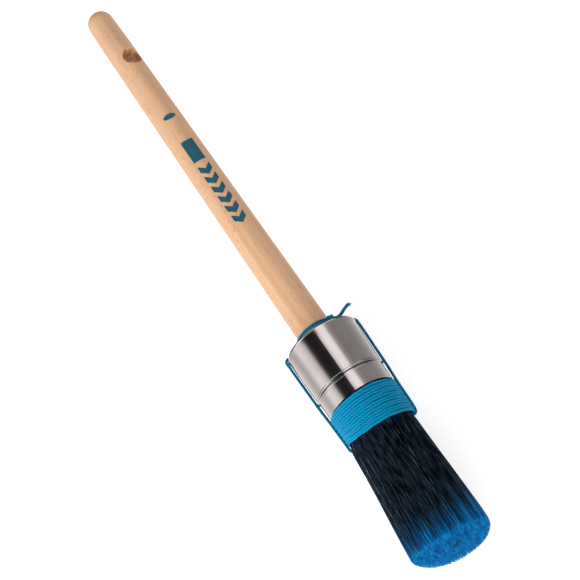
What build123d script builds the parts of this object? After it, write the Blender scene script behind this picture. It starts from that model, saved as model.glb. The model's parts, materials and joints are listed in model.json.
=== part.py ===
from build123d import *
import math
import os

# A round painter's brush with a cord bridle, lying on its side on a table.
# The brush axis runs along X, with the handle at -X and the tip of the tuft at +X, and Z is up.
# Lengths "along" the brush are measured from the top rim of the ferrule, positive towards the tuft.
# The origin is at the bottom centre of the whole brush's bounding box.

os.makedirs("parts", exist_ok=True)

# Driving dimensions, millimetres
handle_end = -196.5  # along, the rounded end of the handle
handle_end_radius = 6.0
handle_hole_radius = 6.45  # of the handle, near the hanging hole
handle_neck_radius = 8.12
hole_along = -165.3
hole_diameter = 8.4
hole_edge_break = 0.7
hole_turn = 39.0  # degrees of the hole's axis from +Z towards +Y
tang_end = 28.0
tang_end_radius = 6.6

rim_radius = 17.0  # the largest radius of the ferrule
shoulder_rise = 2.5  # height of the domed shoulder above the rim
bead_along = 23.9  # a sharp lip, where the wall then steps in
bead_wall_radius = 16.2
bead_height = 0.34
groove_depth = 0.14  # below the narrower wall, on the tuft side of the lip
waist_radius = 15.95
ferrule_end = 33.4
ferrule_end_radius = 15.75
ferrule_wall = 0.4

cord_diameter = 1.4
winding_turns = 13
winding_start_radius = 16.25  # outer radius at the ferrule
winding_end_radius = 15.85  # outer radius towards the tuft
loop_along = -3.35  # the lower of the two turns round the neck
knot_turn = 55.0  # degrees of the knot from +Z towards +Y
knot_radius = 1.75

resin_start = 2.0
resin_end = 18.0
plug_end = 41.0

root_end = 54.6
root_end_radius = 15.0
flex_along = 60.0  # the centre that the tuft bends about
ball_radius = 15.0  # rounded root of the tuft, centred where it bends
flex_clearance = 0.3
tuft_tip = 110.6
tuft_crown_radius = 60.0
# Each station of the tuft: along, radius and sideways lean towards -Y
tuft_stations = [(flex_along, 15.75, 1.3), (84.0, 17.25, 2.35), (105.0, 18.35, 3.15), (112.0, 18.3, 3.2)]

fit_gap = 0.05  # between pieces that touch
tail_reach = 19.3  # how far the cut cord end stands out from the axis

# The brush axis in the part's frame
rim_x = -(handle_end + tuft_tip) / 2
tuft_side = max(radius + lean for along, radius, lean in tuft_stations[:3])
axis_y = (tuft_side - tail_reach) / 2
axis_z = tuft_stations[2][1]


def place(along, y=0.0, z=0.0):
    """A point of the part's frame from its length along the brush and its offsets from the axis."""
    return Vector(rim_x + along, axis_y + y, axis_z + z)


def around(along, radius, turn):
    """A point at a radius from the axis, turned from +Z towards +Y."""
    return place(along, radius * math.sin(math.radians(turn)), radius * math.cos(math.radians(turn)))


def between(start, end, share):
    """The value at a share of the way from start to end."""
    return start + (end - start) * share


# Profiles lie in the plane through the axis: local x runs along the brush and local y is the radius
profile_plane = Plane(origin=place(0), x_dir=(1, 0, 0), z_dir=(0, -1, 0))
brush_axis = Axis(place(0), (1, 0, 0))
cord_radius = cord_diameter / 2
winding_end = ferrule_end + winding_turns * cord_diameter
loop_radius = handle_neck_radius + cord_radius + fit_gap


# Handle: a slender cone of beech with a rounded end and a plain tang inside the ferrule
with BuildPart() as handle:
    end_centre = handle_end + handle_end_radius
    with BuildSketch(profile_plane):
        with BuildLine():
            tang = Line((tang_end, 0), (tang_end, tang_end_radius))
            neck = Polyline(tang @ 1, (0, handle_neck_radius), (-shoulder_rise, handle_neck_radius))
            taper = Line(neck @ 1, (hole_along - 5, handle_hole_radius))
            swell = ThreePointArc(taper @ 1, (hole_along - 14, 6.32), (end_centre, handle_end_radius))
            half_way = handle_end_radius * math.sin(math.pi / 4)
            end_round = ThreePointArc(swell @ 1, (end_centre - half_way, half_way), (handle_end, 0))
            Line(end_round @ 1, tang @ 0)
        make_face()
    revolve(axis=brush_axis)
    hole_direction = around(0, 1, hole_turn) - place(0)
    hole_depth = 4 * handle_hole_radius
    with BuildSketch(Plane(origin=place(hole_along), z_dir=hole_direction)):
        Circle(hole_diameter / 2)
    extrude(amount=hole_depth / 2, both=True, mode=Mode.SUBTRACT)
    hole_edges = handle.edges().filter_by(lambda edge: edge.center().X < rim_x + hole_along + hole_diameter)
    hole_edges = hole_edges.filter_by(lambda edge: edge.center().X > rim_x + hole_along - hole_diameter)
    rim_edges = hole_edges.filter_by(GeomType.LINE, reverse=True).filter_by(GeomType.CIRCLE, reverse=True)
    chamfer(rim_edges, hole_edge_break)
handle.part.label = "handle"
export_step(handle.part, "parts/handle.step")


def wall_radius(along):
    """The radius of the ferrule's wall, which steps in past the bead."""
    if along < bead_along + 0.5:
        return between(rim_radius - 0.1, bead_wall_radius, along / bead_along)
    return between(waist_radius, ferrule_end_radius, (along - bead_along) / (ferrule_end - bead_along))


# Ferrule: a drawn capsule with a domed shoulder, a rounded rim and a rolled bead
def ferrule_outline(inset):
    """The ferrule's outline from the neck hole to its open end, moved inwards by an inset."""
    side_slope = (bead_wall_radius - rim_radius + 0.1) / bead_along

    def side(along, extra=0.0):
        return (along, wall_radius(along) + extra - inset)

    dome = ThreePointArc(
        (-shoulder_rise + inset, handle_neck_radius + fit_gap),
        (-0.7 * shoulder_rise + inset, 0.5 * (handle_neck_radius + rim_radius)),
        (-0.45 + inset, rim_radius - 0.9 - inset),
    )
    rim_points = (dome @ 1, (0.5 + inset / 2, rim_radius - inset), side(3.0))
    rim = Spline(rim_points, tangents=(dome % 1, (1, side_slope)))
    upper = Line(rim @ 1, side(bead_along - 0.9))
    lip = ThreePointArc(upper @ 1, side(bead_along, bead_height), side(bead_along + 0.4))
    groove = ThreePointArc(lip @ 1, side(bead_along + 0.8, -groove_depth), side(bead_along + 1.6))
    lower = Line(groove @ 1, side(ferrule_end))
    Polyline(lower @ 1, (ferrule_end, 0), (-shoulder_rise + inset, 0), dome @ 0)


with BuildPart() as ferrule:
    with BuildSketch(profile_plane):
        with BuildLine():
            ferrule_outline(0)
        make_face()
    revolve(axis=brush_axis)
    with BuildSketch(profile_plane):
        with BuildLine():
            ferrule_outline(ferrule_wall)
        make_face()
    revolve(axis=brush_axis, mode=Mode.SUBTRACT)
    with BuildSketch(Plane(origin=place(-shoulder_rise - 1), z_dir=(1, 0, 0))):
        Circle(handle_neck_radius + fit_gap)
    extrude(amount=shoulder_rise + 2, mode=Mode.SUBTRACT)
ferrule.part.label = "ferrule"
export_step(ferrule.part, "parts/ferrule.step")


def ferrule_bore(along):
    """The radius just inside the ferrule's wall."""
    return wall_radius(along) - ferrule_wall - fit_gap


def tang_radius(along):
    """The radius of the handle's tang."""
    return between(handle_neck_radius, tang_end_radius, along / tang_end)


# Resin: the hard collar that holds the filaments and the tang inside the ferrule
with BuildPart() as resin_set:
    with BuildSketch(profile_plane):
        with BuildLine():
            Polyline(
                (resin_start, tang_radius(resin_start) + fit_gap),
                (resin_start, ferrule_bore(resin_start)),
                (resin_end, ferrule_bore(resin_end)),
                (resin_end, tang_radius(resin_end) + fit_gap),
                close=True,
            )
        make_face()
    revolve(axis=brush_axis)
resin_set.part.label = "resin_set"
export_step(resin_set.part, "parts/resin_set.step")


# Plug: the core that keeps the middle of the filaments open for paint
with BuildPart() as core_plug:
    with BuildSketch(Plane(origin=place(tang_end + fit_gap), z_dir=(1, 0, 0))):
        Circle(tang_end_radius)
    extrude(amount=plug_end - tang_end - fit_gap)
    fillet(core_plug.edges().sort_by(Axis.X)[-1], 2.0)
core_plug.part.label = "core_plug"
export_step(core_plug.part, "parts/core_plug.step")


# Filament root: the held length of the filaments, cupped where the free length bends from it
with BuildPart() as filament_root:
    with BuildSketch(profile_plane):
        with BuildLine():
            bound_radius = winding_end_radius - cord_diameter - fit_gap
            Polyline(
                (resin_end + fit_gap, 0),
                (resin_end + fit_gap, ferrule_bore(resin_end)),
                (bead_along, waist_radius - groove_depth - ferrule_wall - fit_gap),
                (ferrule_end, winding_start_radius - cord_diameter - fit_gap),
                (winding_end, bound_radius),
                (root_end - 1.0, bound_radius + 0.2),
                (root_end - 0.2, root_end_radius),
                (root_end, root_end_radius),
                (root_end, 0),
                close=True,
            )
        make_face()
    revolve(axis=brush_axis)
    with Locations(place(flex_along)):
        Sphere(ball_radius + flex_clearance, mode=Mode.SUBTRACT)
    with BuildSketch(profile_plane):
        with BuildLine():
            Polyline(
                (resin_end, 0),
                (resin_end, tang_radius(resin_end) + fit_gap),
                (tang_end, tang_end_radius + fit_gap),
                (plug_end + fit_gap, tang_end_radius + fit_gap),
                (plug_end + fit_gap, 0),
                close=True,
            )
        make_face()
    revolve(axis=brush_axis, mode=Mode.SUBTRACT)
filament_root.part.label = "filament_root"
export_step(filament_root.part, "parts/filament_root.step")


# Tuft: the free length of the filaments, flared, leaning a little to -Y and crowned at the tip
with BuildPart() as tuft:
    for along, radius, lean in tuft_stations:
        with BuildSketch(Plane(origin=place(along, -lean), z_dir=(1, 0, 0))):
            Circle(radius)
    loft(ruled=True)
    crown_lean = tuft_stations[2][2]
    with Locations(place(tuft_tip - tuft_crown_radius, -crown_lean)):
        Sphere(tuft_crown_radius, mode=Mode.INTERSECT)
    with Locations(place(flex_along)):
        Sphere(ball_radius)
tuft.part.label = "tuft"
export_step(tuft.part, "parts/tuft.step")


# Bridle winding: close turns of cord round the root of the filaments
with BuildPart() as bridle_winding:
    winding_centres = []
    for turn in range(winding_turns):
        along = ferrule_end + fit_gap + cord_radius + turn * cord_diameter
        outer_radius = between(winding_start_radius, winding_end_radius, turn / (winding_turns - 1))
        winding_centres.append((along, outer_radius - cord_radius))
    with BuildSketch(profile_plane):
        with Locations(winding_centres):
            Circle(cord_radius)
        with BuildLine():
            (first_along, first_radius), (last_along, last_radius) = winding_centres[0], winding_centres[-1]
            band = cord_radius / 2
            Polyline(
                (first_along, first_radius - band),
                (last_along, last_radius - band),
                (last_along, last_radius + band),
                (first_along, first_radius + band),
                close=True,
            )
        make_face()
    revolve(axis=brush_axis)
bridle_winding.part.label = "bridle_winding"
export_step(bridle_winding.part, "parts/bridle_winding.step")


# Neck loop: two turns of the cord round the handle, against the shoulder of the ferrule
with BuildPart() as neck_loop:
    loop_centres = [(loop_along, loop_radius), (loop_along - cord_diameter, loop_radius)]
    with BuildSketch(profile_plane):
        with Locations(loop_centres):
            Circle(cord_radius)
        with Locations((loop_along - cord_radius, loop_radius)):
            Rectangle(cord_diameter, cord_radius)
    revolve(axis=brush_axis)
neck_loop.part.label = "neck_loop"
export_step(neck_loop.part, "parts/neck_loop.step")


# Bridle legs: each is pulled straight from the neck over the rim to the winding, and tucks in under it
for name, side in (("bridle_leg_left", -1), ("bridle_leg_right", 1)):
    side_plane = Plane(origin=place(0), x_dir=(1, 0, 0), z_dir=(0, 0, side))
    over_rim = rim_radius + cord_radius + 0.15
    over_winding = winding_end_radius + cord_radius + 0.15
    with BuildPart() as leg:
        with BuildLine(side_plane) as route:
            FilletPolyline(
                (loop_along - 0.9, loop_radius + cord_radius + 0.1),
                (-0.9, over_rim),
                (bead_along, bead_wall_radius + bead_height + cord_radius + 0.2),
                (winding_end - 0.6, over_winding),
                (winding_end + 0.95, 15.8),
                radius=[1.6, 200.0, 1.0],
            )
        with BuildSketch(Plane(origin=route.line @ 0, z_dir=route.line % 0)):
            Circle(cord_radius)
        sweep(path=route.line)
        add(neck_loop.part, mode=Mode.SUBTRACT)
    leg.part.label = name
    export_step(leg.part, f"parts/{name}.step")


# Knot: a small round lump of the cord on the loop
with BuildPart() as neck_knot:
    knot_centre = around(loop_along - cord_radius, loop_radius + knot_radius, knot_turn)
    with Locations(knot_centre):
        Sphere(knot_radius)
    add(neck_loop.part, mode=Mode.SUBTRACT)
neck_knot.part.label = "neck_knot"
export_step(neck_knot.part, "parts/neck_knot.step")


# Tail: the short cut end of the cord that leaves the knot sideways
with BuildPart() as cord_tail:
    tail_end = place(loop_along - 3.2, tail_reach, 3.4)
    with BuildLine() as tail_route:
        Line(knot_centre, tail_end)
    with BuildSketch(Plane(origin=tail_route.line @ 0, z_dir=tail_route.line % 0)):
        Circle(cord_radius)
    sweep(path=tail_route.line)
    add(neck_knot.part, mode=Mode.SUBTRACT)
    add(neck_loop.part, mode=Mode.SUBTRACT)
cord_tail.part.label = "cord_tail"
export_step(cord_tail.part, "parts/cord_tail.step")
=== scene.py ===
import json
import math

import bpy
import numpy as np
from mathutils import Matrix, Vector


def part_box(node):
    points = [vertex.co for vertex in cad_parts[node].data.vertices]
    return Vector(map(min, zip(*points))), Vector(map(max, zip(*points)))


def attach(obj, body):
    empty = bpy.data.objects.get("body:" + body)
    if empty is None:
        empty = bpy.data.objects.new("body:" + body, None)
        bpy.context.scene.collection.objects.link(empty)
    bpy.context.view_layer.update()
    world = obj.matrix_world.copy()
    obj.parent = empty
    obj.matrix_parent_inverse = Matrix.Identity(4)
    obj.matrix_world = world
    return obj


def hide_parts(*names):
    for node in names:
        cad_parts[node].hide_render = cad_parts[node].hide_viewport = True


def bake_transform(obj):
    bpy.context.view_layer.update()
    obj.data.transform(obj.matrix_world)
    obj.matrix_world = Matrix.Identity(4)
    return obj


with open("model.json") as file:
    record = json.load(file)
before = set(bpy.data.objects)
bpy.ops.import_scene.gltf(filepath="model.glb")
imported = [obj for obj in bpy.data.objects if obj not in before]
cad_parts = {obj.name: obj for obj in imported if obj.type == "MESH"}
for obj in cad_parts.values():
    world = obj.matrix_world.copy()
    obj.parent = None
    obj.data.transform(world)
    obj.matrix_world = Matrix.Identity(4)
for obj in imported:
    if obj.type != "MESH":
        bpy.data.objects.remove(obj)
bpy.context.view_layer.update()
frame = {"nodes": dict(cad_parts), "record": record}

# A round painter's brush with a cord bridle, lying on a pale floor. Shapes are worked out in millimetres
# along the brush from the ferrule's top rim, with offsets y and z from the brush axis, and are then
# moved into the frame's metres. An angle round the brush is counted from +Z towards +Y.
MM = 0.001
random_source = np.random.default_rng(16)

ferrule_low, ferrule_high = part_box("ferrule")
_, winding_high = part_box("bridle_winding")
_, tuft_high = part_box("tuft")
hanging_hole = frame["record"]["mounts"][0]
HOLE_PLACE, HOLE_AXIS = Vector(hanging_hole["pos_m"]), Vector(hanging_hole["axis"])
HOLE_RADIUS = hanging_hole["dims"]["r_mm"]
SHOULDER_RISE = 2.5  # of the ferrule's dome above its top rim
AXIS = Vector((ferrule_low.x + SHOULDER_RISE * MM, (ferrule_low.y + ferrule_high.y) / 2,
               (ferrule_low.z + ferrule_high.z) / 2))
FERRULE_END = (ferrule_high.x - AXIS.x) / MM
WINDING_END = (winding_high.x - AXIS.x) / MM
TUFT_TIP = (tuft_high.x - AXIS.x) / MM
LEFT, RIGHT = -math.pi / 2, math.pi / 2

CORD_RADIUS = 0.7
LOOP_RADIUS = 8.87  # of the cord's middle where it goes round the neck
LOOP_ALONG = -3.35
EXPORT_MAP = "OFBake"  # the name of the map layer for the pieces' own map coordinates


def in_frame(points):
    """Points in millimetres from the rim centre, as metres in the frame."""
    return np.asarray(points, float) * MM + np.array(AXIS)


def at(along, y=0.0, z=0.0):
    """One such point, as a vector."""
    return Vector(in_frame([along, y, z]))


def around(along, radius, angle):
    """The point at a radius and an angle round the brush."""
    return np.array([along, radius * math.sin(angle), radius * math.cos(angle)])


def hump(angle, centre, width):
    """A smooth hump of height 1 round an angle of the brush."""
    away = (angle - centre + math.pi) % (2 * math.pi) - math.pi
    return np.exp(-((away / width) ** 2))


# ---- Meshes ----
def mesh_object(name, vertices, faces, material, attributes=None, smooth=True, flat_map=None):
    """A mesh piece from points in millimetres and faces, with named numbers on its points.

    flat_map holds the map coordinates of each face's corners."""
    mesh = bpy.data.meshes.new(name)
    mesh.from_pydata(in_frame(vertices).tolist(), [], faces)
    if flat_map is not None:
        mesh.uv_layers.new(name=EXPORT_MAP).data.foreach_set("uv", np.asarray(flat_map, np.float32).ravel())
    for key, values in (attributes or {}).items():
        mesh.attributes.new(key, "FLOAT", "POINT").data.foreach_set("value", np.asarray(values, np.float32))
    mesh.polygons.foreach_set("use_smooth", [smooth] * len(mesh.polygons))
    mesh.materials.append(material)
    mesh.update()
    piece = bpy.data.objects.new(name, mesh)
    bpy.context.scene.collection.objects.link(piece)
    return piece


def tube_faces(rings, sides, first=0, closed=False):
    """Quads between the rings of one tube, with a cap on each open end."""
    faces = []
    for ring in range(rings if closed else rings - 1):
        a, b = first + ring * sides, first + (ring + 1) % rings * sides
        for side in range(sides):
            after = (side + 1) % sides
            faces.append((a + side, a + after, b + after, b + side))
    if not closed:
        faces.append(tuple(first + side for side in reversed(range(sides))))
        faces.append(tuple(first + (rings - 1) * sides + side for side in range(sides)))
    return faces


def tube_map(spans, sides, strip):
    """Map coordinates for the corners of a tube's faces, in the order of tube_faces. Each span is a stretch's
    start and end along the map, and strip(side) gives the two edges of a side across it."""
    corners = []
    for start, end in spans:
        for side in range(sides):
            low, high = strip(side)
            corners += [(start, low), (start, high), (end, high), (end, low)]
    return corners


def path_frames(points, closed=False):
    """Tangents and two steady side directions along a path."""
    if closed:
        tangents = np.roll(points, -1, 0) - np.roll(points, 1, 0)
    else:
        tangents = np.gradient(points, axis=0)
    tangents /= np.linalg.norm(tangents, axis=1)[:, None]
    sideways = np.empty_like(points)
    side = np.cross(tangents[0], [0.31, 0.22, 0.93])
    for i, tangent in enumerate(tangents):
        side = side - tangent * (side @ tangent)
        side = side / np.linalg.norm(side)
        sideways[i] = side
    return tangents, sideways, np.cross(tangents, sideways)


def smooth_path(points, step):
    """A Catmull-Rom curve through the points, sampled about every step."""
    points = np.asarray(points, float)
    padded = np.vstack([2 * points[0] - points[1], points, 2 * points[-1] - points[-2]])
    samples = []
    for a, b, c, d in zip(padded, padded[1:], padded[2:], padded[3:]):
        count = max(2, int(np.linalg.norm(c - b) / step))
        t = np.linspace(0, 1, count, endpoint=False)[:, None]
        samples.append(0.5 * (2 * b + (c - a) * t + (2 * a - 5 * b + 4 * c - d) * t**2
                              + (3 * b - a - 3 * c + d) * t**3))
    return np.vstack(samples + [points[-1:]])


# ---- Materials ----
def linear(red, green, blue):
    """A display colour from 0 to 255, as the shader's linear colour."""
    values = [c / 255 for c in (red, green, blue)]
    return tuple(c / 12.92 if c <= 0.04045 else ((c + 0.055) / 1.055) ** 2.4 for c in values) + (1.0,)


class Nodes:
    """A short way to write a material's node tree."""

    def __init__(self, name):
        self.material = bpy.data.materials.new(name)
        self.material.use_nodes = True
        self.tree = self.material.node_tree
        self.shader = self.tree.nodes["Principled BSDF"]

    def add(self, kind, **inputs):
        """A node with its inputs set or linked. A name that starts with set_ is a property of the node."""
        node = self.tree.nodes.new("ShaderNode" + kind)
        for key in [k for k in inputs if k.startswith("set_")]:
            setattr(node, key[4:], inputs.pop(key))
        for key, value in inputs.items():
            socket = node.inputs[int(key[1:])] if key[0] == "i" and key[1:].isdigit() else node.inputs[key]
            self.put(value, socket)
        return node

    def put(self, value, socket):
        """Links an output to a socket, or sets the socket to a plain value."""
        if isinstance(value, bpy.types.NodeSocket):
            self.tree.links.new(value, socket)
        else:
            socket.default_value = value

    def math(self, operation, a, b=0.0, c=0.0, clamp=False):
        """The result of a Math node."""
        return self.add("Math", set_operation=operation, set_use_clamp=clamp, i0=a, i1=b, i2=c).outputs[0]

    def noise(self, vector, scale, detail=3.0, roughness=0.5):
        """Noise from 0 to 1, over the vector times the scale."""
        node = self.add("TexNoise", Vector=vector, Scale=scale, Detail=detail, Roughness=roughness)
        return node.outputs["Fac"]

    def stretch(self, vector, scale):
        """The vector with each axis scaled on its own."""
        return self.add("Mapping", Vector=vector, Scale=scale).outputs[0]

    def ramp(self, factor, stops):
        """A colour ramp with (position, colour) stops."""
        node = self.add("ValToRGB", Fac=factor)
        elements = node.color_ramp.elements
        while len(elements) < len(stops):
            elements.new(0.5)
        for element, (position, colour) in zip(elements, stops):
            element.position = position
            element.color = colour
        return node.outputs["Color"]

    def mix(self, factor, a, b, blend="MIX"):
        """One colour mixed with another."""
        node = self.add("Mix", set_data_type="RGBA", set_blend_type=blend)
        self.put(factor, node.inputs[0])
        self.put(a, node.inputs[6])
        self.put(b, node.inputs[7])
        return node.outputs[2]

    def attribute(self, name):
        """A number stored on the mesh's points."""
        return self.add("Attribute", set_attribute_name=name).outputs["Fac"]

    def object_point(self):
        """The surface point, in the piece's own coordinates."""
        return self.add("TexCoord").outputs["Object"]

    def bump(self, height, strength, distance):
        """Bumps the shader's normal by a height."""
        node = self.add("Bump", Height=height, Strength=strength, Distance=distance)
        self.put(node.outputs[0], self.shader.inputs["Normal"])

    def set(self, **inputs):
        """Sets or links the shader's inputs, with _ in their names for each space."""
        for key, value in inputs.items():
            self.put(value, self.shader.inputs[key.replace("_", " ")])


def beech_material():
    """Pale sanded beech: soft growth bands, short dark ray flecks and end grain in the hole, darker and more
    orange but lightened there as painted light.
    """
    n = Nodes("beech")
    point = n.object_point()
    bands = n.noise(n.stretch(point, (6.0, 210.0, 260.0)), 1.0, 4.0, 0.55)
    colour = n.ramp(bands, [(0.30, linear(192, 151, 115)), (0.50, linear(205, 165, 128)),
                            (0.72, linear(214, 177, 141))])
    blotch = n.noise(n.stretch(point, (28.0, 70.0, 70.0)), 1.0, 2.0)
    colour = n.mix(n.math("MULTIPLY", blotch, 0.55), colour, linear(190, 146, 112))
    fleck = n.add("TexVoronoi", Vector=n.stretch(point, (330.0, 1500.0, 1500.0)), Scale=1.0, Randomness=1.0)
    fleck_here = n.noise(n.stretch(point, (60.0, 260.0, 260.0)), 1.0, 2.0)
    fleck_mask = n.math("MULTIPLY", n.math("LESS_THAN", fleck.outputs["Distance"], 0.30),
                        n.math("GREATER_THAN", fleck_here, 0.54))
    pore = n.noise(n.stretch(point, (420.0, 5200.0, 5200.0)), 1.0, 2.0)
    pore_mask = n.math("MULTIPLY", n.math("SUBTRACT", pore, 0.57, clamp=True), 3.0, clamp=True)
    colour = n.mix(n.math("MULTIPLY", fleck_mask, 0.42), colour, linear(150, 104, 70))
    colour = n.mix(n.math("MULTIPLY", pore_mask, 0.45), colour, linear(164, 120, 86))
    away = n.add("VectorMath", set_operation="SUBTRACT", i0=point, i1=tuple(HOLE_PLACE)).outputs[0]
    across = n.add("VectorMath", set_operation="CROSS_PRODUCT", i0=away, i1=tuple(HOLE_AXIS)).outputs[0]
    from_hole = n.add("VectorMath", set_operation="LENGTH", i0=across).outputs["Value"]
    in_hole = n.add("MapRange", Value=from_hole, i1=(HOLE_RADIUS + 0.55) * MM, i2=(HOLE_RADIUS + 0.15) * MM)
    in_hole = in_hole.outputs["Result"]
    # End grain in the hole: its own orange colour, lightened as painted light where little light gets in.
    end_grain = n.noise(n.stretch(point, (900.0, 260.0, 260.0)), 1.0, 2.0)
    hole_grain_and_light = n.ramp(end_grain, [(0.35, linear(172, 122, 78)), (0.65, linear(222, 176, 124))])
    colour = n.mix(in_hole, colour, hole_grain_and_light)
    n.set(Base_Color=colour, Roughness=n.math("ADD", n.math("MULTIPLY", bands, 0.14), 0.40))
    n.shader.inputs["Coat Weight"].default_value = 0.12
    n.shader.inputs["Coat Roughness"].default_value = 0.35
    height = n.math("SUBTRACT", n.math("MULTIPLY", bands, 0.5), n.math("MULTIPLY", pore_mask, 0.8))
    n.bump(height, 0.25, 0.0002)
    return n.material


def nickel_material():
    """Bright nickel plate: near mirror, with faint drawing lines and smudges."""
    n = Nodes("nickel")
    point = n.object_point()
    smudge = n.noise(n.stretch(point, (90.0, 90.0, 90.0)), 1.0, 4.0, 0.6)
    lines = n.noise(n.stretch(point, (40.0, 2600.0, 2600.0)), 1.0, 2.0)
    n.set(Base_Color=n.ramp(smudge, [(0.3, linear(222, 216, 214)), (0.7, linear(235, 229, 228))]),
          Roughness=n.math("ADD", n.math("MULTIPLY", smudge, 0.12), 0.09))
    n.shader.inputs["Metallic"].default_value = 1.0
    n.bump(lines, 0.05, 0.0001)
    return n.material


def cord_material(name, light, dark):
    """Twisted synthetic cord with fine fibres, with painted shade between its plies and a painted highlight
    on their crowns.
    """
    n = Nodes(name)
    point = n.object_point()
    cord_shade = n.attribute("cord_shade")
    fibre = n.noise(n.stretch(point, (2600.0, 2600.0, 2600.0)), 1.0, 2.0)
    patch = n.noise(n.stretch(point, (160.0, 160.0, 160.0)), 1.0, 2.0)
    # Painted shade: the colour darkens between the plies, where the attribute is low. The ramp's last stop is
    # a painted highlight on the plies' crowns; the patches are random tone.
    shade = n.math("ADD", n.math("MULTIPLY", cord_shade, 0.7), n.math("MULTIPLY", fibre, 0.45))
    colour = n.ramp(shade, [(0.28, dark), (0.74, light), (0.98, linear(30, 172, 212))])
    colour = n.mix(n.math("MULTIPLY", patch, 0.3), colour, dark)
    n.set(Base_Color=colour, Roughness=0.62)
    n.shader.inputs["Sheen Weight"].default_value = 0.03
    n.shader.inputs["Sheen Roughness"].default_value = 0.4
    n.shader.inputs["Specular IOR Level"].default_value = 0.08
    n.bump(fibre, 0.5, 0.00008)
    return n.material


PALE_SHADE = 0.75  # strands with a shade above this are pale, painted glints


def filament_material():
    """Dyed tapered filament: near black, through teal to bright blue at the tips, with a few pale strands
    that are painted glints.

    Each strand has a shade from 0, dark, to 1, pale: a random tone, raised as painted highlight on some
    strands. dye goes from 0 to 1 towards its tip."""
    n = Nodes("filament")
    dye, shade = n.attribute("dye"), n.attribute("shade")
    colour = n.ramp(dye, [
        (0.0, linear(4, 8, 21)), (0.25, linear(4, 16, 33)), (0.42, linear(4, 33, 56)),
        (0.60, linear(2, 53, 86)), (0.76, linear(1, 72, 124)), (0.88, linear(1, 96, 162)),
        (1.0, linear(2, 124, 192))])
    # Brightness by shade: random tone from strand to strand, and a painted highlight, lighter and cyan,
    # towards PALE_SHADE.
    brightness = n.ramp(shade, [(0.0, (0.16, 0.20, 0.30, 1)), (0.5, (1, 1, 1, 1)),
                                (PALE_SHADE, (1.2, 1.85, 1.50, 1))])
    colour = n.mix(1.0, colour, brightness, "MULTIPLY")
    patch = n.noise(n.stretch(n.object_point(), (90.0, 230.0, 230.0)), 1.0, 3.0, 0.6)
    patch = n.add("MapRange", Value=patch, i1=0.50, i2=0.66, i3=0.0, i4=0.50).outputs["Result"]
    at_tip = n.add("MapRange", Value=dye, i1=0.74, i2=0.92, i3=0.0, i4=1.0).outputs["Result"]
    colour = n.mix(n.math("MULTIPLY", patch, at_tip), colour, linear(0, 146, 205))
    # Painted glints: strands above PALE_SHADE are mixed towards a pale grey-blue, in streaks broken along
    # their length.
    broken = n.noise(n.stretch(n.object_point(), (150.0, 1500.0, 1500.0)), 1.0, 3.0, 0.6)
    broken = n.add("MapRange", Value=broken, i1=0.42, i2=0.64, i3=0.0, i4=1.0).outputs["Result"]
    pale = n.add("MapRange", Value=shade, i1=PALE_SHADE, i2=1.0, i3=0.12, i4=0.90).outputs["Result"]
    colour = n.mix(n.math("MULTIPLY", pale, broken), colour, linear(112, 136, 154))
    n.set(Base_Color=colour, Roughness=n.math("ADD", n.math("MULTIPLY", shade, -0.12), 0.48))
    n.shader.inputs["Specular IOR Level"].default_value = 0.02
    n.shader.inputs["Specular Tint"].default_value = (0.72, 0.86, 1.0, 1.0)
    return n.material


def ink_material():
    """Printed teal ink, a little thin over the grain."""
    n = Nodes("ink")
    point = n.object_point()
    grain = n.noise(n.stretch(point, (420.0, 5200.0, 5200.0)), 1.0, 2.0)
    n.set(Base_Color=n.ramp(grain, [(0.35, linear(0, 66, 86)), (0.7, linear(8, 90, 108))]),
          Roughness=n.math("ADD", n.math("MULTIPLY", grain, 0.2), 0.35))
    return n.material


def resin_material():
    """Amber epoxy with fine clouding."""
    n = Nodes("resin")
    cloud = n.noise(n.stretch(n.object_point(), (300.0, 300.0, 300.0)), 1.0, 4.0)
    n.set(Base_Color=n.ramp(cloud, [(0.3, linear(150, 112, 58)), (0.7, linear(196, 158, 96))]),
          Roughness=n.math("ADD", n.math("MULTIPLY", cloud, 0.2), 0.2))
    return n.material


BEECH = beech_material()
NICKEL = nickel_material()
# The legs, neck loop, knot and tail are the same cord as the winding; their material is a darker copy of its
# colours, painted shade.
CORD = cord_material("cord", linear(0, 132, 176), linear(0, 78, 116))
CORD_SHADED = cord_material("cord_painted_shade", linear(2, 94, 128), linear(0, 46, 70))
FILAMENT = filament_material()
INK = ink_material()
RESIN = resin_material()


# ---- CAD nodes that stay ----
def dress(node, material):
    """Gives a CAD node its material."""
    for slot in frame["nodes"][node].material_slots:
        slot.material = material


dress("handle", BEECH)
dress("core_plug", BEECH)
dress("ferrule", NICKEL)
dress("resin_set", RESIN)


# ---- Cord ----
PLIES = 3
CORD_SIDES = 12
PLY_PITCH = 3.4  # the length of cord in which a ply goes round once


def cord_section(angle):
    """The radius of three twisted plies at an angle, as a share of the cord's, and how high the ply stands
    there, from 0 in the groove, which the cord's colour uses as painted shade.
    """
    lobe = np.abs(np.cos(angle * PLIES / 2))
    return 0.76 + 0.24 * lobe, lobe


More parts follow.
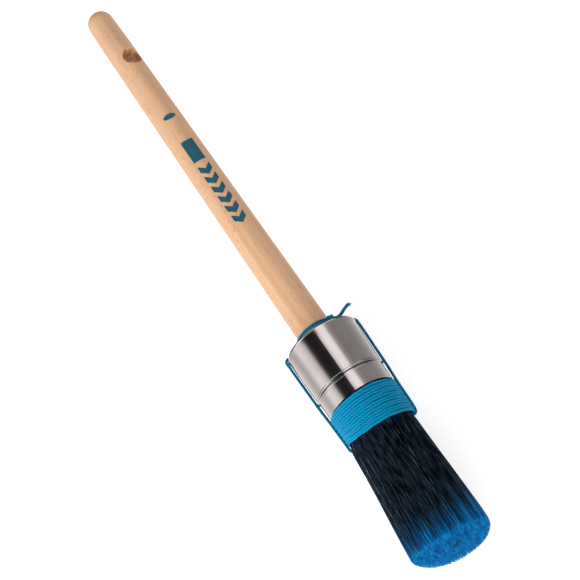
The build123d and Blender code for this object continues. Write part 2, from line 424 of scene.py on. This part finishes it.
def cord_piece(name, points, material=None, radius=CORD_RADIUS, closed=False):
    """A twisted cord along a path of points."""
    points = np.asarray(points, float)
    _, first_side, second_side = path_frames(points, closed)
    steps = np.linalg.norm(np.diff(points, axis=0), axis=1)
    length = np.concatenate([[0], np.cumsum(steps)])
    angles = np.arange(CORD_SIDES) / CORD_SIDES * 2 * math.pi
    vertices, cord_shade = [], []
    for i, point in enumerate(points):
        share, lobe = cord_section(angles - length[i] / PLY_PITCH * 2 * math.pi)
        outward = np.cos(angles)[:, None] * first_side[i] + np.sin(angles)[:, None] * second_side[i]
        vertices.append(point + (radius * share)[:, None] * outward)
        cord_shade.append(lobe)
    starts = length / PLY_PITCH % 1
    ends = starts + np.append(steps, np.linalg.norm(points[0] - points[-1])) / PLY_PITCH
    spans = list(zip(starts, ends))
    if not closed:
        spans.pop()
    flat_map = tube_map(spans, CORD_SIDES, lambda side: (side / CORD_SIDES, (side + 1) / CORD_SIDES))
    if not closed:
        flat_map += [(starts[0], 0.5)] * CORD_SIDES + [(starts[-1], 0.5)] * CORD_SIDES
    return mesh_object(name, np.vstack(vertices), tube_faces(len(points), CORD_SIDES, closed=closed),
                       material or CORD, {"cord_shade": np.concatenate(cord_shade)}, flat_map=flat_map)


def winding_path():
    """Thirteen close turns of the cord, pulled towards the handle where the legs leave them."""
    turns, per_turn = 13, 260
    turn = np.linspace(0, turns, turns * per_turn + 1)
    angle = RIGHT + turn * 2 * math.pi
    left, right = hump(angle, LEFT, 0.66), hump(angle, RIGHT, 0.50)
    top = FERRULE_END + 0.35 - 0.5 * left
    bottom = WINDING_END - CORD_RADIUS - 4.6 * left - 1.0 * right
    along = top + (bottom - top) * turn / turns
    wobble = 0.07 * np.sin(angle * 2.3 + turn) + 0.06 * np.sin(angle * 5.1 + 2 * turn)
    wobble = wobble + 0.05 * np.sin(angle * 11.3 + 5 * turn) + 0.03 * np.sin(angle * 19.7 + 3 * turn)
    radius = 15.55 - 0.35 * turn / turns + 0.10 * (left + right) * np.where(turn.astype(int) % 2, 1.0, -1.0)
    radius = radius + 0.9 * np.clip((FERRULE_END + 0.7 - along) / 1.0, 0, 1) + 0.4 * wobble
    return np.stack([along + wobble, radius * np.sin(angle), radius * np.cos(angle)], axis=1)


winding = cord_piece("winding_cord", winding_path())
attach(winding, "brush")
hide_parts("bridle_winding")


LEG_RADIUS = 0.69  # the cord is stretched here


def leg_points(side, end_along, end_reach, rim_lift):
    """A leg: over the shoulder and the rim, pressed on the bead and the winding, and tucked under its end."""
    def taut(along, reach):
        """A point on the straight stretch, which comes down from the rim's lift over its first 9 mm."""
        return (along, side * reach, -1.0 + (rim_lift + 1.0) * max(0.0, 1 - along / 9.0))

    return [
        (LOOP_ALONG - 0.6, side * 8.6, -2.8), (LOOP_ALONG + 0.1, side * 9.7, -2.9),
        (-2.55, side * 12.2, -2.2), (-1.75, side * 14.6, -0.9),
        (-1.1, side * 16.2, 0.7 * rim_lift), (0.0, side * 17.4, rim_lift),
        taut(1.6, 17.56), taut(9.0, 17.50), taut(16.0, 17.34), taut(23.7, 17.2), taut(30.0, 16.93),
        taut(36.0, 16.65), taut(end_along - 4.0, 16.42), taut(end_along - 1.0, end_reach),
        (end_along + 0.1, side * (end_reach - 0.3), -0.8), (end_along + 0.8, side * (end_reach - 1.0), -0.6),
        (end_along + 1.0, side * (end_reach - 2.0), -0.4), (end_along + 0.6, side * (end_reach - 3.0), -0.2)]


for side_name, side, end_along, end_reach, rim_lift in (("left", -1, 48.6, 16.35, 2.9),
                                                        ("right", 1, 50.2, 16.2, -2.6)):
    route = leg_points(side, end_along, end_reach, rim_lift)
    leg = cord_piece("leg_cord_" + side_name, smooth_path(route, 0.4), CORD_SHADED, radius=LEG_RADIUS)
    node = "bridle_leg_" + side_name
    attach(leg, "brush")
    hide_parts(node)


def loop_path():
    """Two turns round the neck, a little uneven."""
    turn = np.linspace(0, 2.0, 300)
    angle = RIGHT + turn * 2 * math.pi
    along = LOOP_ALONG - 1.4 * np.clip(turn - 0.5, 0, 1) + 0.12 * np.sin(angle * 1.7)
    radius = LOOP_RADIUS + 0.08 * np.sin(angle * 2.6)
    return np.stack([along, radius * np.sin(angle), radius * np.cos(angle)], axis=1)


neck = cord_piece("neck_cord", loop_path(), CORD_SHADED)
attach(neck, "brush")
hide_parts("neck_loop")

KNOT_CENTRE = around(LOOP_ALONG - 0.7, LOOP_RADIUS + 1.75, math.radians(55))
KNOT_SCALE = 0.44


def knot_path():
    """An overhand knot pulled tight, as a closed trefoil."""
    t = np.linspace(0, 2 * math.pi, 160, endpoint=False)
    across = np.sin(t) + 2 * np.sin(2 * t)
    up = np.cos(t) - 2 * np.cos(2 * t)
    return KNOT_CENTRE + KNOT_SCALE * np.stack([-1.3 * np.sin(3 * t), across, up], axis=1)


knot = cord_piece("knot_cord", knot_path(), CORD_SHADED, radius=0.62, closed=True)
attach(knot, "brush")
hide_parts("neck_knot")


def frayed_tail():
    """The cut end of the cord: a short curved stub that opens into loose fibres."""
    end = np.array([LOOP_ALONG - 2.2, 18.0, 3.4])
    route = [KNOT_CENTRE + [0.2, 0.6, -0.4], KNOT_CENTRE + [0.9, 2.6, -1.6], [LOOP_ALONG - 0.5, 13.4, 3.2],
             [LOOP_ALONG - 1.7, 16.2, 3.3], end]
    stub = cord_piece("tail_cord", smooth_path(route, 0.3), CORD_SHADED, radius=0.78)
    heading = np.array([0.35, 0.93, 0.0])
    count, rings, sides = 110, 5, 4
    vertices, faces, cord_shade = [], [], []
    for i in range(count):
        offset = random_source.normal(0, 0.34, 3)
        bend = random_source.normal(0, 0.34, 3)
        reach = random_source.uniform(0.4, 1.3)
        for ring in range(rings):
            t = ring / (rings - 1)
            centre = end + heading * ((reach + 0.5) * t - 0.5) + offset * (0.6 + 0.5 * t) + bend * t * t
            for side in range(sides):
                turn = side / sides * 2 * math.pi
                width = 0.065 * (1 - 0.5 * t)
                vertices.append(centre + [width * math.sin(turn), 0, width * math.cos(turn)])
                # Painted shade: the loose fibres are darker where they leave the stub.
                cord_shade.append(0.5 + 0.5 * t)
        faces += tube_faces(rings, sides, first=i * rings * sides)
    fibres = mesh_object("tail_fibres", vertices, faces, CORD_SHADED, {"cord_shade": cord_shade})
    return stub, fibres


for piece in frayed_tail():
    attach(piece, "brush")
    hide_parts("cord_tail")


# ---- Tuft ----
def bundle_radius(along):
    """The tuft's radius: bound by the winding, then flaring towards the tip."""
    return np.interp(along, [45.0, 46.5, 48.0, 50.0, 53.2, 66.0, 84.0, 101.0, 112.0],
                     [13.8, 14.1, 14.6, 14.85, 15.2, 15.75, 16.95, 18.05, 18.3])


def bundle_lean(along):
    """How far the tuft's middle leans towards -Y."""
    return np.interp(along, [45.0, 48.0, 53.5, 66.0, 105.0, 112.0], [0.2, 1.1, 1.15, 1.5, 3.2, 3.4])


def tip_along(y, z):
    """Where the filaments end: a crown, longest a little to the +Y side, and worn back at both corners."""
    y = y + bundle_lean(TUFT_TIP)
    wear = np.clip((-y - 8.0) / 10.0, 0, 1) ** 2 + 1.2 * np.clip((y - 12.0) / 6.0, 0, 1) ** 2
    crown = (y * y + z * z) / 190 + 0.0042 * y * y
    return TUFT_TIP + 0.1 + 0.105 * y - 0.03 * z - crown - wear


MAP_ROWS = 128  # the strands share this many rows of the map
DYE_ALONG, DYE_LENGTH = 87.0, 23.0  # where the dye starts, and the length to its full colour


def strands(name, root_angle, depth, start, tip, width, lengthwise, wander, shade, dye_start,
            tip_offset=None):
    """Many tapered filaments in one mesh.

    depth is the share of the bundle's radius that each keeps, and lengthwise the places of its rings, from 0
    at its start to 1 at its tip. wander gives the angle that it strays by, and tip_offset how far its tip is
    pulled aside."""
    count, rings, sides = len(root_angle), len(lengthwise), 3
    t = lengthwise[None, :]
    along = start[:, None] + (tip - start)[:, None] * t
    angle = root_angle[:, None] + wander(along, t)
    radius = bundle_radius(along) * depth[:, None]
    y = radius * np.sin(angle) - bundle_lean(along)
    z = radius * np.cos(angle)
    if tip_offset is not None:
        y = y + tip_offset[:, :1] * t**2
        z = z + tip_offset[:, 1:] * t**2
    taper = np.interp(t, [0, 0.75, 1.0], [1.0, 0.9, 0.30]) * width[:, None]
    turn = random_source.uniform(0, 2 * math.pi, count)
    vertices = np.empty((count, rings, sides, 3))
    for side in range(sides):
        a = turn + side / sides * 2 * math.pi
        vertices[:, :, side, 0] = along
        vertices[:, :, side, 1] = y + taper * np.sin(a)[:, None]
        vertices[:, :, side, 2] = z + taper * np.cos(a)[:, None]
    faces = []
    for i in range(count):
        faces += tube_faces(rings, sides, first=i * rings * sides)
    dye = np.clip((along - (DYE_ALONG + dye_start[:, None])) / DYE_LENGTH, 0, 1)
    dye = np.repeat(dye[:, :, None], sides, axis=2).reshape(-1)
    shades = np.repeat(shade, rings * sides)
    one_map = tube_map(list(zip(lengthwise, lengthwise[1:])), sides, lambda side: (0.15, 0.85))
    one_map += [(0, 0.5)] * sides + [(1, 0.5)] * sides
    flat_map = np.tile(np.array(one_map), (count, 1, 1))
    flat_map[:, :, 1] = (flat_map[:, :, 1] + (np.arange(count) % MAP_ROWS)[:, None]) / MAP_ROWS
    return mesh_object(name, vertices.reshape(-1, 3), faces, FILAMENT, {"dye": dye, "shade": shades},
                       flat_map=flat_map)


def nearest_angle(angle, choices):
    """For each angle, the index of the nearest choice and the way to it."""
    away = (choices[None, :] - angle[:, None] + math.pi) % (2 * math.pi) - math.pi
    nearest = np.argmin(np.abs(away), axis=1)
    return nearest, away[np.arange(len(angle)), nearest]


LOCKS = 110  # soft locks round the tuft, each with its own depth, shade and dye
CROWN = 105.0  # along, where the places of the tips are worked out
lock_angles = (np.arange(LOCKS) + random_source.uniform(-0.45, 0.45, LOCKS)) / LOCKS * 2 * math.pi
lock_rise = random_source.normal(0, 0.005, LOCKS)
lock_shade = random_source.normal(0.31, 0.07, LOCKS)
lock_dye = random_source.normal(0, 2.0, LOCKS)


def side_strands(name, count, inner, outer):
    """Long filaments in the outer layers, gathered into soft locks towards the tip."""
    angle = (np.arange(count) + random_source.uniform(-0.5, 0.5, count)) / count * 2 * math.pi
    lock, pull = nearest_angle(angle, lock_angles)
    depth = random_source.uniform(inner, outer, count) + lock_rise[lock]
    sway = random_source.normal(0, 0.007, count)
    phase = random_source.uniform(0, 2 * math.pi, count)

    def wander(along, t):
        """The pull into the lock, and a slow sway."""
        return pull[:, None] * 0.6 * t + sway[:, None] * np.sin(phase[:, None] + 5 * t) * t

    radius = bundle_radius(CROWN) * depth
    tip = tip_along(radius * np.sin(angle) - bundle_lean(CROWN), radius * np.cos(angle))
    tip = tip + 0.2 - np.abs(random_source.normal(0, 0.7, count))
    # Painted highlight: strands towards the ±Y sides are lighter and more often pale painted glints; the rest
    # of the pale strands are painted glints too.
    side_highlight = np.abs(np.sin(angle)) ** 8
    shade = np.clip(lock_shade[lock] + 0.06 * side_highlight + random_source.normal(0, 0.19, count), 0, 0.74)
    pale = random_source.uniform(0, 1, count) < 0.055 + 0.34 * side_highlight
    shade = np.where(pale, random_source.uniform(0.78, 1.0, count), shade)
    lengthwise = np.array([0, 0.11, 0.15, 0.30, 0.45, 0.60, 0.72, 0.82, 0.90, 0.96, 1.0])
    width = random_source.uniform(0.11, 0.17, count) - 0.015 * pale
    dye_start = lock_dye[lock] + random_source.normal(0.4, 2.6, count) - 5.5 * np.abs(np.sin(angle)) ** 3
    return strands(name, angle, depth, np.full(count, 44.0), tip, width, lengthwise, wander, shade, dye_start)


def tip_strands(name, count, low, high):
    """Short visible ends of the inner filaments over the face of the tip, drawn together in small clumps."""
    index = np.arange(int(count * low), int(count * high))
    depth = np.sqrt((index + 0.5) / count)
    angle = index * math.pi * (3 - math.sqrt(5)) + random_source.normal(0, 0.02, len(index))
    radius = bundle_radius(CROWN) * depth
    y, z = radius * np.sin(angle), radius * np.cos(angle)
    clumps = 420
    clump_depth = bundle_radius(CROWN) * np.sqrt(random_source.uniform(0, 1, clumps))
    clump_turn = random_source.uniform(0, 2 * math.pi, clumps)
    clump_y, clump_z = clump_depth * np.sin(clump_turn), clump_depth * np.cos(clump_turn)
    clump = np.argmin((y[:, None] - clump_y) ** 2 + (z[:, None] - clump_z) ** 2, axis=1)
    drawn = np.stack([clump_y[clump] - y, clump_z[clump] - z], axis=1)
    drawn = drawn / np.maximum(1.0, np.linalg.norm(drawn, axis=1) / 1.2)[:, None]
    offset = 0.30 * drawn + random_source.normal(0, 0.17, (len(index), 2))
    tip = tip_along(y - bundle_lean(CROWN), z) + 0.2 - 0.35 * np.linalg.norm(drawn, axis=1)
    tip = tip - np.abs(random_source.normal(0, 0.45, len(index)))
    clump_shade = random_source.normal(0.43, 0.12, clumps)
    rim_light = (0.24 + 0.08 * np.cos(angle + 0.9)) * depth**6
    shade = np.clip(clump_shade[clump] + rim_light + random_source.normal(0, 0.10, len(index)), 0, 0.74)
    dye_start = random_source.normal(-1.0, 1.8, len(index)) - 4.0 * depth**4
    lengthwise = np.array([0, 0.62, 0.88, 1.0])
    width = random_source.uniform(0.15, 0.20, len(index))
    return strands(name, angle, depth, tip - 11.0, tip, width, lengthwise, lambda along, t: 0 * along, shade,
                   dye_start, tip_offset=offset)


def bundle_core():
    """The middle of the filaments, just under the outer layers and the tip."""
    sides, inset, below_tip, last = 96, 0.75, 2.4, 106.0
    stations = np.concatenate([np.linspace(33.6, 54.0, 10), np.linspace(56.0, last, 26)])
    angle = np.arange(sides) / sides * 2 * math.pi
    vertices = []
    for along in stations:
        radius = bundle_radius(along) - inset + 0.1 * max(0.0, 47.5 - along)
        y = radius * np.sin(angle) - bundle_lean(along)
        z = radius * np.cos(angle)
        end = np.minimum(along, tip_along(y, z) - below_tip)
        vertices.append(np.stack([end, y, z], axis=1))
    face_rings = [0.8, 0.55, 0.3, 0.08]
    for share in face_rings:
        radius = (bundle_radius(last) - inset) * share
        y = radius * np.sin(angle) - bundle_lean(last)
        z = radius * np.cos(angle)
        vertices.append(np.stack([tip_along(y, z) - below_tip, y, z], axis=1))
    vertices = np.vstack(vertices)
    # Painted shade: the core is darker than the strands round it, and its dye stops at 0.6 of the way to the
    # tip colour.
    dye = np.clip((vertices[:, 0] - DYE_ALONG - 3.0) / DYE_LENGTH, 0, 0.6)
    faces = tube_faces(len(stations) + len(face_rings), sides)
    shade = np.full(len(vertices), 0.15)
    return mesh_object("filament_core", vertices, faces, FILAMENT, {"dye": dye, "shade": shade})


tuft_pieces = [
    bundle_core(),
    side_strands("filaments_under", 1300, 0.955, 0.985),
    side_strands("filaments_outer", 1500, 0.985, 1.005),
    tip_strands("filament_tips_inner", 9000, 0.0, 0.5),
    tip_strands("filament_tips_outer", 9000, 0.5, 0.97),
]
for piece in tuft_pieces:
    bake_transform(piece)
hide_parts("filament_root")
for piece in tuft_pieces[1:]:
    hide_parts("tuft")


# ---- Print on the handle ----
NECK_RADIUS = 8.12
TAPER = 0.00995  # radius lost for each millimetre from the neck towards the handle's end
PRINT_ANGLE = math.radians(13.3)
PRINT_HALF_WIDTH = 3.0
INK_LIFT = 0.02


def handle_radius(along):
    """The handle's radius between the ferrule and the hanging hole."""
    return NECK_RADIUS + (along + SHOULDER_RISE) * TAPER


def printed_shape(edges, steps=16):
    """A thin shape on the handle. edges(v) gives its two ends along the handle, for v from -1 to 1."""
    vertices, faces = [], []
    for step in range(steps + 1):
        v = -1 + 2 * step / steps
        for along in edges(v):
            for lift in (INK_LIFT, -INK_LIFT):
                radius = handle_radius(along) + lift
                vertices.append(around(along, radius, PRINT_ANGLE + v * PRINT_HALF_WIDTH / radius))
    for step in range(steps):
        a, b = 4 * step, 4 * step + 4
        faces += [(a, b, b + 2, a + 2), (a + 1, a + 3, b + 3, b + 1)]
        faces += [(a, a + 1, b + 1, b), (a + 2, b + 2, b + 3, a + 3)]
    faces += [(0, 2, 3, 1), (4 * steps, 4 * steps + 1, 4 * steps + 3, 4 * steps + 2)]
    return vertices, faces


def printed_mark():
    """A generic mark: a row of chevrons, a solid block and a small bar."""
    first, pitch, point, thickness = -98.9, 5.75, 2.6, 3.4
    shapes = []
    for index in range(6):
        start = first + pitch * index
        shapes.append(printed_shape(
            lambda v: (start + point * (1 - abs(v)), start + point * (1 - abs(v)) + thickness)))
    shapes.append(printed_shape(lambda v: (-113.4, -101.2)))
    shapes.append(printed_shape(lambda v: (-129.4 + 0.9 * abs(v) ** 2, -126.6 - 0.9 * abs(v) ** 2)))
    vertices, faces = [], []
    for shape_vertices, shape_faces in shapes:
        faces += [tuple(i + len(vertices) for i in face) for face in shape_faces]
        vertices += shape_vertices
    return mesh_object("printed_mark", vertices, faces, INK, smooth=False)


mark = printed_mark()
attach(mark, "brush")


# ---- Floor, light and camera ----
def floor():
    """A pale floor that glows a little, so that it shows white, and stays out of reflections."""
    mesh = bpy.data.meshes.new("floor")
    reach = 3.0
    corners = [(-reach, -reach, 0), (reach, -reach, 0), (reach, reach, 0), (-reach, reach, 0)]
    mesh.from_pydata(corners, [], [(0, 1, 2, 3)])
    n = Nodes("floor")
    n.set(Base_Color=(0.80, 0.80, 0.80, 1), Roughness=0.9)
    n.set(Emission_Color=(1, 1, 1, 1), Emission_Strength=0.45)
    n.shader.inputs["Specular IOR Level"].default_value = 0.1
    mesh.materials.append(n.material)
    piece = bpy.data.objects.new("floor", mesh)
    piece.visible_glossy = False
    bpy.context.scene.collection.objects.link(piece)


def studio_world():
    """What the metal mirrors: soft boxes and a dark gap round the brush's long axis, a bright band towards
    the handle's end, and darkness at both ends of the axis. Above the horizon, the brightness reaches almost
    to the tip's end."""
    world = bpy.data.worlds.new("studio")
    bpy.context.scene.world = world
    world.use_nodes = True
    tree = world.node_tree

    def node(kind, *inputs, **settings):
        """A node of the world, with its inputs set or linked in their order."""
        made = tree.nodes.new("ShaderNode" + kind)
        for key, value in settings.items():
            setattr(made, key, value)
        for socket, value in zip(made.inputs, inputs):
            if isinstance(value, bpy.types.NodeSocket):
                tree.links.new(value, socket)
            else:
                socket.default_value = value
        return made

    def grey_ramp(factor, stops):
        """A ramp of near greys, a touch redder than neutral, with (position, brightness) stops."""
        made = node("ValToRGB", factor)
        elements = made.color_ramp.elements
        while len(elements) < len(stops):
            elements.new(0.5)
        for element, (position, value) in zip(elements, stops):
            element.position = position
            element.color = (value, value * 0.975, value * 0.98, 1)
        return made.outputs[0]

    split = node("SeparateXYZ", node("TexCoord").outputs["Generated"])
    angle = node("Math", split.outputs["Y"], split.outputs["Z"], operation="ARCTAN2").outputs[0]
    share = node("Math", angle, 1 / (2 * math.pi), 0.5, operation="MULTIPLY_ADD").outputs[0]
    # Degrees round the axis from +Z towards +Y, and how bright it is there
    boxes = [(-180, 1.0), (-150, 0.95), (-124, 0.66), (-106, 0.50), (-92, 0.62), (-80, 0.92), (-64, 0.84),
             (-51, 0.62), (-41, 0.05), (-33, 0.012), (-4, 0.010), (1.5, 0.12), (8, 1.0), (27, 1.0),
             (35, 0.34), (47, 0.22), (92, 0.25), (118, 0.36), (138, 0.55), (160, 0.95)]
    around_axis = grey_ramp(share, [(degrees / 360 + 0.5, value) for degrees, value in boxes])
    along_axis = node("Math", split.outputs["X"], 0.5, 0.5, operation="MULTIPLY_ADD").outputs[0]
    open_part = grey_ramp(along_axis, [(0.05, 0.02), (0.10, 1.0), (0.70, 1.0), (0.82, 0.04)])
    up_high = node("MapRange", split.outputs["Z"], -0.05, 0.12, 0.0, 1.0).outputs["Result"]
    over_tip = grey_ramp(along_axis, [(0.55, 0.0), (0.65, 0.9), (0.90, 0.9), (0.93, 0.03)])
    over_tip = node("VectorMath", over_tip, up_high, operation="MULTIPLY").outputs[0]
    open_part = node("VectorMath", open_part, over_tip, operation="MAXIMUM").outputs[0]
    end_band = grey_ramp(along_axis, [(0.08, 0.0), (0.095, 1.0), (0.155, 1.0), (0.18, 0.0)])
    light = node("VectorMath", around_axis, open_part, end_band, operation="MULTIPLY_ADD").outputs[0]
    above = node("Math", split.outputs["Z"], 0.0, operation="GREATER_THAN").outputs[0]
    not_end = node("MapRange", split.outputs["X"], -0.62, -0.52, 0.03, 1.0).outputs["Result"]
    strength = node("Math", above, not_end, operation="MAXIMUM").outputs[0]
    tree.links.new(light, tree.nodes["Background"].inputs["Color"])
    tree.links.new(strength, tree.nodes["Background"].inputs["Strength"])


def soft_light(name, place, target, size, power):
    """A large area light that shows in no reflection."""
    data = bpy.data.lights.new(name, "AREA")
    data.shape = "DISK"
    data.size = size
    data.energy = power
    light = bpy.data.objects.new(name, data)
    light.location = place
    light.rotation_euler = (Vector(target) - Vector(place)).to_track_quat("-Z", "Y").to_euler()
    light.visible_glossy = False
    bpy.context.scene.collection.objects.link(light)


def camera():
    """A long lens from above, tilted towards the tip's end, and turned so that the brush lies aslant."""
    tilt, roll, distance = math.radians(24.0), math.radians(34.816), 1.2
    aim_back, aim_across = 0.0257, 0.0015  # of the picture's middle, from the ferrule's rim
    forward = Vector((-math.sin(tilt), 0, -math.cos(tilt)))
    up_brush = Vector((-math.cos(tilt), 0, math.sin(tilt)))
    across = Vector((0, 1, 0))
    screen_up = math.cos(roll) * up_brush + math.sin(roll) * across
    screen_right = math.cos(roll) * across - math.sin(roll) * up_brush
    data = bpy.data.cameras.new("camera")
    data.lens = 174.2
    data.sensor_width = 36.0
    data.clip_end = 20.0
    piece = bpy.data.objects.new("camera", data)
    place = at(0) - forward * distance + up_brush * aim_back + across * aim_across
    piece.matrix_world = Matrix((
        (screen_right.x, screen_up.x, -forward.x, place.x),
        (screen_right.y, screen_up.y, -forward.y, place.y),
        (screen_right.z, screen_up.z, -forward.z, place.z),
        (0, 0, 0, 1)))
    bpy.context.scene.collection.objects.link(piece)
    bpy.context.scene.camera = piece


floor()
studio_world()
soft_light("key", (0.25, -1.0, 0.66), (0, 0, 0), 0.8, 13.5)
soft_light("fill", (-0.2, 1.05, 0.60), (0, 0, 0), 1.0, 5.0)
soft_light("front", (1.0, -0.1, 0.65), (0.05, 0, 0), 0.8, 7.0)
camera()
bpy.context.scene.view_settings.view_transform = "Standard"
bpy.context.scene.view_settings.look = "None"
